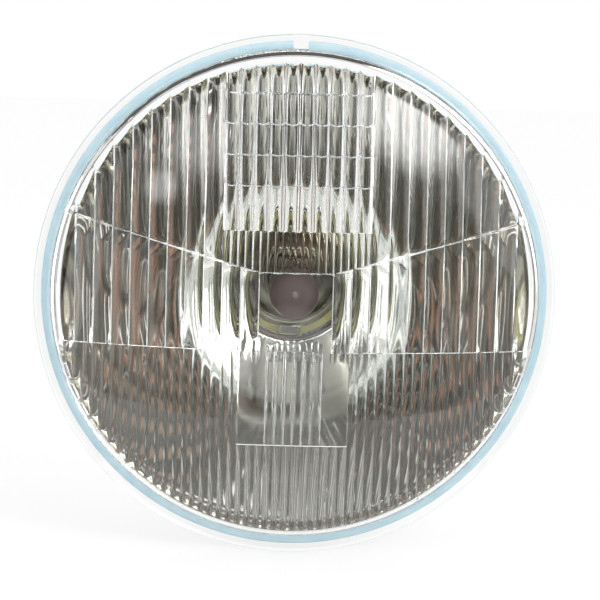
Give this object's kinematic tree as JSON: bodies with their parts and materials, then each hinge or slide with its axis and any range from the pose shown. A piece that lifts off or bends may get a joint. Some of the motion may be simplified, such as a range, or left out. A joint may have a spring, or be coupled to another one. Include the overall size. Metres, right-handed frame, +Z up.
{
  "type": "round headlight unit",
  "caption": "Round headlight unit: domed, fluted glass lens sealed to a bright parabolic reflector, with a bulb held from behind by a turning bayonet plate.",
  "frame": {"origin": "centre of the flat rear face of the flange, where the unit sits in its rim", "axes": "-Y is the way the lens faces and the light leaves, +Z is up as pictured, +X is to the right seen from the front of the lens"},
  "size_m": [0.178, 0.1143, 0.178],
  "materials": {
    "lens": "clear pressed glass",
    "lens_seal": "pale steel-blue, slightly glossy",
    "reflector": "mirror-bright inside, dull metal outside",
    "bulb_holder": "yellow-green passivated",
    "bulb_retainer": "zinc plated",
    "bulb_collar": "bright",
    "bulb_glass": "clear, with a dull brown-grey coat on the tip",
    "filament": "matt grey",
    "lead": "satin",
    "dip_shield": "satin",
    "base_insulator": "matt",
    "terminal": "tinned"
  },
  "bodies": {
    "unit": {"lens": "lens", "lens_seal": "lens_seal", "reflector": "reflector", "bulb_holder": "bulb_holder", "bulb_collar": "bulb_collar", "bulb_glass": "bulb_glass", "dip_shield": "dip_shield", "base_insulator": "base_insulator", "main_filament": "filament", "dip_filament": "filament", "lead_main": "lead", "lead_dip": "lead", "lead_common": "lead", "terminal_main": "terminal", "terminal_dip": "terminal", "terminal_ground": "terminal"},
    "bulb_retainer": {"bulb_retainer": "bulb_retainer"}
  },
  "joints": [
    {"name": "retainer_turn", "type": "hinge", "parent": "unit", "child": "bulb_retainer", "pos_m": [0, 0.0584, 0], "axis": [0, 1, 0], "range_deg": [0, 25]}
  ]
}
